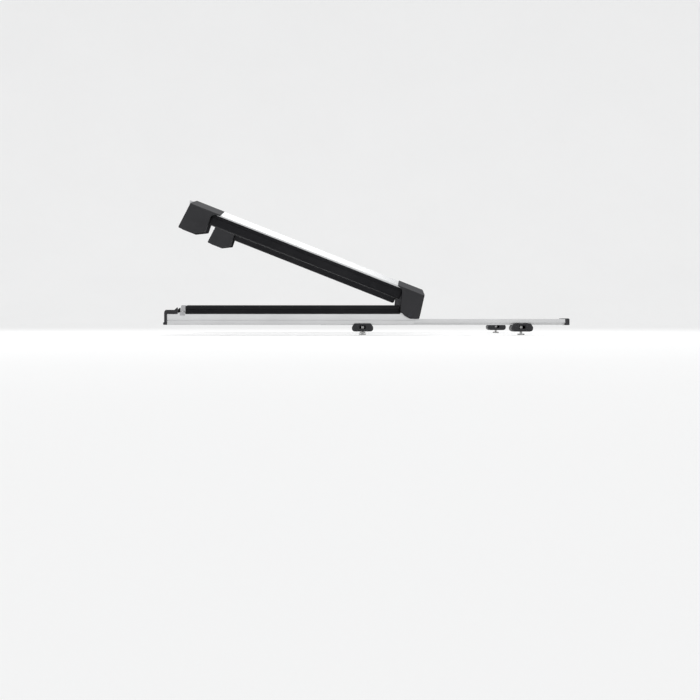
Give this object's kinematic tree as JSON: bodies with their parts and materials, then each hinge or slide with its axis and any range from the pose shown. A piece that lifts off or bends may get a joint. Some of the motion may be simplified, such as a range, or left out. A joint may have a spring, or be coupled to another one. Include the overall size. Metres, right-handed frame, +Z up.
{
  "type": "roof ski rack",
  "caption": "Pair of slide-out roof ski carriers with a padded jaw lid, push-button latch, lock and telescoping aluminium rails on bar clamps.",
  "frame": {"origin": "centre of the four bar clamps, on the plane of the roof bars' tops", "axes": "+Z up, +X across the car from the loading side to the hinge side, +Y along the car from the near carrier to the far one"},
  "size_m": [1.223, 0.78, 0.4068],
  "materials": {
    "silver_aluminium": "satin anodised extrusion",
    "lid_aluminium": "bright satin anodised extrusion",
    "black_moulding": "fine moulded grain, dark charcoal",
    "pad_rubber": "matt soft rubber with long ribs",
    "foot_rubber": "matt black rubber",
    "button_plastic": "light grey moulding",
    "zinc_steel": "zinc plated",
    "black_steel": "black zinc plated",
    "striker_steel": "bright plated sheet steel",
    "spring_steel": "oiled spring wire",
    "glide_plastic": "natural acetal",
    "lock_metal": "plated barrel",
    "brake_block": "hard friction rubber on a steel carrier"
  },
  "bodies": {
    "root": {"front_fixed_rail": "silver_aluminium", "rear_fixed_rail": "silver_aluminium", "front_bar_clamps": "black_moulding", "rear_bar_clamps": "black_moulding", "rail_outer_caps": "black_moulding", "rail_inner_caps": "black_moulding", "rail_glides": "glide_plastic", "clamp_feet": "foot_rubber", "t_bolts": "zinc_steel", "clamp_nuts": "zinc_steel", "clamp_screws": "zinc_steel"},
    "front_slider": {"front_slider_rail": "silver_aluminium", "front_slider_end_cap": "black_moulding", "front_slider_glides": "glide_plastic", "front_lower_pad": "pad_rubber", "front_hinge_bushes": "glide_plastic", "front_striker": "striker_steel", "front_striker_rivets": "zinc_steel", "front_lever_pin": "zinc_steel", "front_lever_spring": "spring_steel", "front_brake_housing": "black_moulding"},
    "front_lid": {"front_lid_arm": "lid_aluminium", "front_upper_pad": "pad_rubber", "front_outer_cap": "black_moulding", "front_hinge_cap": "black_moulding", "front_hinge_pin": "black_steel", "front_latch_pin": "zinc_steel", "front_latch_spring": "spring_steel", "front_cap_screws": "zinc_steel"},
    "front_lever": {"front_release_lever": "black_moulding"},
    "front_rod": {"front_pull_rod": "zinc_steel"},
    "front_brake": {"front_brake_shoe": "brake_block"},
    "front_button": {"front_release_button": "button_plastic"},
    "front_latch": {"front_latch_hook": "zinc_steel"},
    "front_lock": {"front_lock_barrel": "lock_metal"},
    "rear_slider": {"rear_slider_rail": "silver_aluminium", "rear_slider_end_cap": "black_moulding", "rear_slider_glides": "glide_plastic", "rear_lower_pad": "pad_rubber", "rear_hinge_bushes": "glide_plastic", "rear_striker": "striker_steel", "rear_striker_rivets": "zinc_steel", "rear_lever_pin": "zinc_steel", "rear_lever_spring": "spring_steel", "rear_brake_housing": "black_moulding"},
    "rear_lid": {"rear_lid_arm": "lid_aluminium", "rear_upper_pad": "pad_rubber", "rear_outer_cap": "black_moulding", "rear_hinge_cap": "black_moulding", "rear_hinge_pin": "black_steel", "rear_latch_pin": "zinc_steel", "rear_latch_spring": "spring_steel", "rear_cap_screws": "zinc_steel"},
    "rear_lever": {"rear_release_lever": "black_moulding"},
    "rear_rod": {"rear_pull_rod": "zinc_steel"},
    "rear_brake": {"rear_brake_shoe": "brake_block"},
    "rear_button": {"rear_release_button": "button_plastic"},
    "rear_latch": {"rear_latch_hook": "zinc_steel"},
    "rear_lock": {"rear_lock_barrel": "lock_metal"}
  },
  "joints": [
    {"name": "front_slide", "type": "slide", "parent": "root", "child": "front_slider", "axis": [1, 0, 0], "range_m": [0, 0.45]},
    {"name": "front_lid_hinge", "type": "hinge", "parent": "front_slider", "child": "front_lid", "pos_m": [-0.098, -0.35, 0.05], "axis": [0, -1, 0], "range_deg": [0, 21.54]},
    {"name": "front_lever_pull", "type": "hinge", "parent": "front_slider", "child": "front_lever", "pos_m": [-0.812, -0.35, 0.0628], "axis": [0, 1, 0], "range_deg": [0, 15]},
    {"name": "front_rod_slide", "type": "slide", "parent": "front_slider", "child": "front_rod", "axis": [-1, 0, 0], "range_m": [0, 0.00392], "stiffness_N_per_m": 2700, "springref_m": -0.0075},
    {"name": "front_brake_lift", "type": "slide", "parent": "front_slider", "child": "front_brake", "axis": [0, 0, 1], "range_m": [0, 0.00197]},
    {"name": "front_button_press", "type": "slide", "parent": "front_lid", "child": "front_button", "axis": [0.9302, 0, -0.3672], "range_m": [0, 0.005], "stiffness_N_per_m": 400, "springref_m": -0.005},
    {"name": "front_latch_turn", "type": "hinge", "parent": "front_lid", "child": "front_latch", "pos_m": [-0.72515, -0.35, 0.34593], "axis": [0, 1, 0], "range_deg": [0, 19.1]},
    {"name": "front_lock_turn", "type": "hinge", "parent": "front_lid", "child": "front_lock", "pos_m": [-0.75144, -0.35, 0.34878], "axis": [-0.9302, 0, 0.3672], "range_deg": [-90, 0]},
    {"name": "rear_slide", "type": "slide", "parent": "root", "child": "rear_slider", "axis": [1, 0, 0], "range_m": [0, 0.45]},
    {"name": "rear_lid_hinge", "type": "hinge", "parent": "rear_slider", "child": "rear_lid", "pos_m": [-0.098, 0.35, 0.05], "axis": [0, -1, 0], "range_deg": [0, 21.54]},
    {"name": "rear_lever_pull", "type": "hinge", "parent": "rear_slider", "child": "rear_lever", "pos_m": [-0.812, 0.35, 0.0628], "axis": [0, 1, 0], "range_deg": [0, 15]},
    {"name": "rear_rod_slide", "type": "slide", "parent": "rear_slider", "child": "rear_rod", "axis": [-1, 0, 0], "range_m": [0, 0.00392], "stiffness_N_per_m": 2700, "springref_m": -0.0075},
    {"name": "rear_brake_lift", "type": "slide", "parent": "rear_slider", "child": "rear_brake", "axis": [0, 0, 1], "range_m": [0, 0.00197]},
    {"name": "rear_button_press", "type": "slide", "parent": "rear_lid", "child": "rear_button", "axis": [0.9302, 0, -0.3672], "range_m": [0, 0.005], "stiffness_N_per_m": 400, "springref_m": -0.005},
    {"name": "rear_latch_turn", "type": "hinge", "parent": "rear_lid", "child": "rear_latch", "pos_m": [-0.72515, 0.35, 0.34593], "axis": [0, 1, 0], "range_deg": [0, 19.1]},
    {"name": "rear_lock_turn", "type": "hinge", "parent": "rear_lid", "child": "rear_lock", "pos_m": [-0.75144, 0.35, 0.34878], "axis": [-0.9302, 0, 0.3672], "range_deg": [-90, 0]}
  ],
  "couplings": [
    {"joint": "front_lever_pull", "follows": "front_rod_slide", "rad_per_m": 66.667},
    {"joint": "front_brake_lift", "follows": "front_rod_slide", "ratio": 0.5},
    {"joint": "front_latch_turn", "follows": "front_button_press", "rad_per_m": 66.6},
    {"joint": "rear_lever_pull", "follows": "rear_rod_slide", "rad_per_m": 66.667},
    {"joint": "rear_brake_lift", "follows": "rear_rod_slide", "ratio": 0.5},
    {"joint": "rear_latch_turn", "follows": "rear_button_press", "rad_per_m": 66.6}
  ]
}
